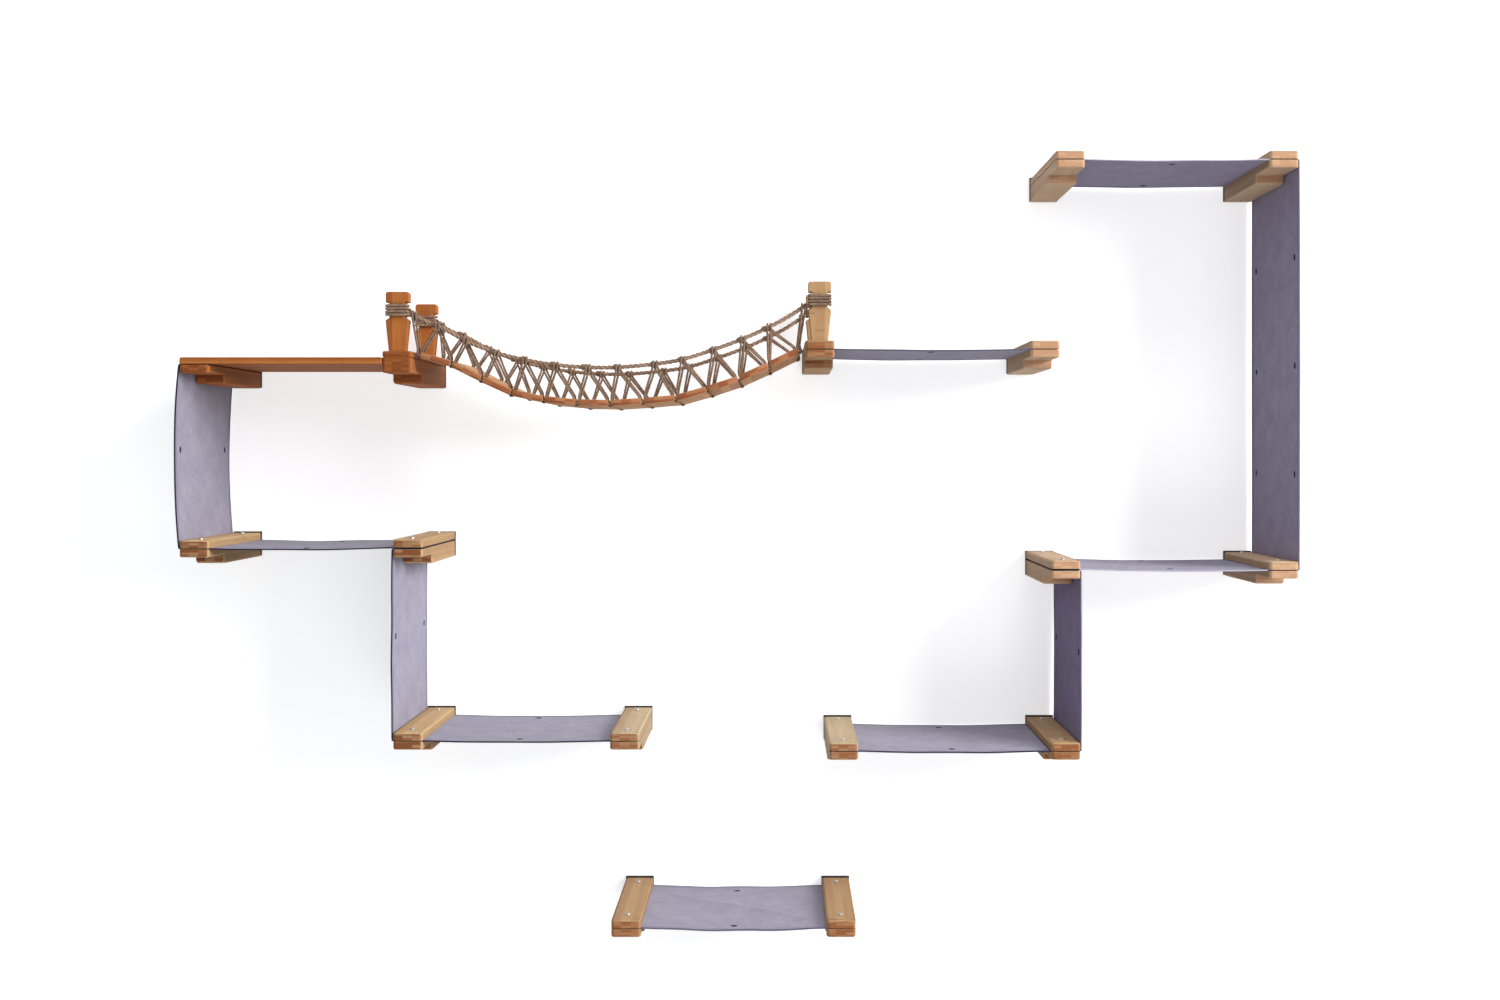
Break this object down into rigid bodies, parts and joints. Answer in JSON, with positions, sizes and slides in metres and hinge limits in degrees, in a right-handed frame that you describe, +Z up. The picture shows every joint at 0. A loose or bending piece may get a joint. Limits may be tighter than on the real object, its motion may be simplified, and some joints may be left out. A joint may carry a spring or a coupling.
{
  "type": "wall-mounted cat tree",
  "caption": "Wall climbing set: wooden arms clamp canvas shelves and drops, with a plank and a rope bridge of slats.",
  "frame": {"origin": "on the wall's face, midway between the two wall holes of the bridge's left arm", "axes": "+X along the wall to the right as seen from the room, +Y into the wall, +Z up; the wall is Y = 0"},
  "size_m": [2.1233, 0.2833, 1.5008],
  "materials": {
    "bamboo": "satin",
    "canvas": "matte",
    "rope": "matte",
    "cord": "matte",
    "black_steel": "satin",
    "bright_steel": "satin"
  },
  "bodies": {
    "root": {"plank_left_arm": "bamboo", "bridge_left_arm": "bamboo", "bridge_right_arm": "bamboo", "shelf_right_arm": "bamboo", "middle_left_arm": "bamboo", "middle_right_arm": "bamboo", "lower_left_arm": "bamboo", "lower_right_arm": "bamboo", "tower_top_left_arm": "bamboo", "tower_top_right_arm": "bamboo", "tower_middle_left_arm": "bamboo", "tower_middle_right_arm": "bamboo", "tower_foot_left_arm": "bamboo", "tower_foot_right_arm": "bamboo", "hammock_left_arm": "bamboo", "hammock_right_arm": "bamboo", "bridge_left_batten": "bamboo", "bridge_right_batten": "bamboo", "shelf_right_batten": "bamboo", "middle_left_batten": "bamboo", "middle_right_batten": "bamboo", "lower_left_batten": "bamboo", "lower_right_batten": "bamboo", "tower_top_left_batten": "bamboo", "tower_top_right_batten": "bamboo", "tower_middle_left_batten": "bamboo", "tower_middle_right_batten": "bamboo", "tower_foot_left_batten": "bamboo", "tower_foot_right_batten": "bamboo", "hammock_left_batten": "bamboo", "hammock_right_batten": "bamboo", "plank": "bamboo", "plank_dowels": "bamboo", "post_riser": "bamboo", "front_left_post": "bamboo", "front_right_post": "bamboo", "back_left_post": "bamboo", "back_right_post": "bamboo", "plank_drop_canvas": "canvas", "middle_drop_canvas": "canvas", "tower_tall_drop_canvas": "canvas", "tower_short_drop_canvas": "canvas", "middle_shelf_canvas": "canvas", "lower_shelf_canvas": "canvas", "bridge_shelf_canvas": "canvas", "tower_top_shelf_canvas": "canvas", "tower_middle_shelf_canvas": "canvas", "tower_foot_shelf_canvas": "canvas", "hammock_canvas": "canvas", "front_post_windings": "rope", "back_post_windings": "rope", "wall_plates": "black_steel", "lock_screws": "black_steel", "clamp_screws": "bright_steel"},
    "front_rope_rail": {"front_hand_rope": "rope", "front_lacing": "cord"},
    "back_rope_rail": {"back_hand_rope": "rope", "back_lacing": "cord"},
    "bridge_deck": {"bridge_slats": "bamboo", "cross_ropes": "cord"}
  },
  "joints": [
    {"name": "front_sway", "type": "hinge", "parent": "root", "child": "front_rope_rail", "pos_m": [0.3983, -0.267, 0.1123], "axis": [1, 0, 0], "range_deg": [-5, 5]},
    {"name": "back_sway", "type": "hinge", "parent": "root", "child": "back_rope_rail", "pos_m": [0.3983, -0.044, 0.1123], "axis": [1, 0, 0], "range_deg": [-5, 5]},
    {"name": "deck_level", "type": "hinge", "parent": "front_rope_rail", "child": "bridge_deck", "pos_m": [0.3983, -0.267, -0.0305], "axis": [1, 0, 0], "range_deg": [-5, 5]}
  ],
  "couplings": [
    {"joint": "back_sway", "follows": "front_sway", "ratio": 1},
    {"joint": "deck_level", "follows": "front_sway", "ratio": -1}
  ]
}
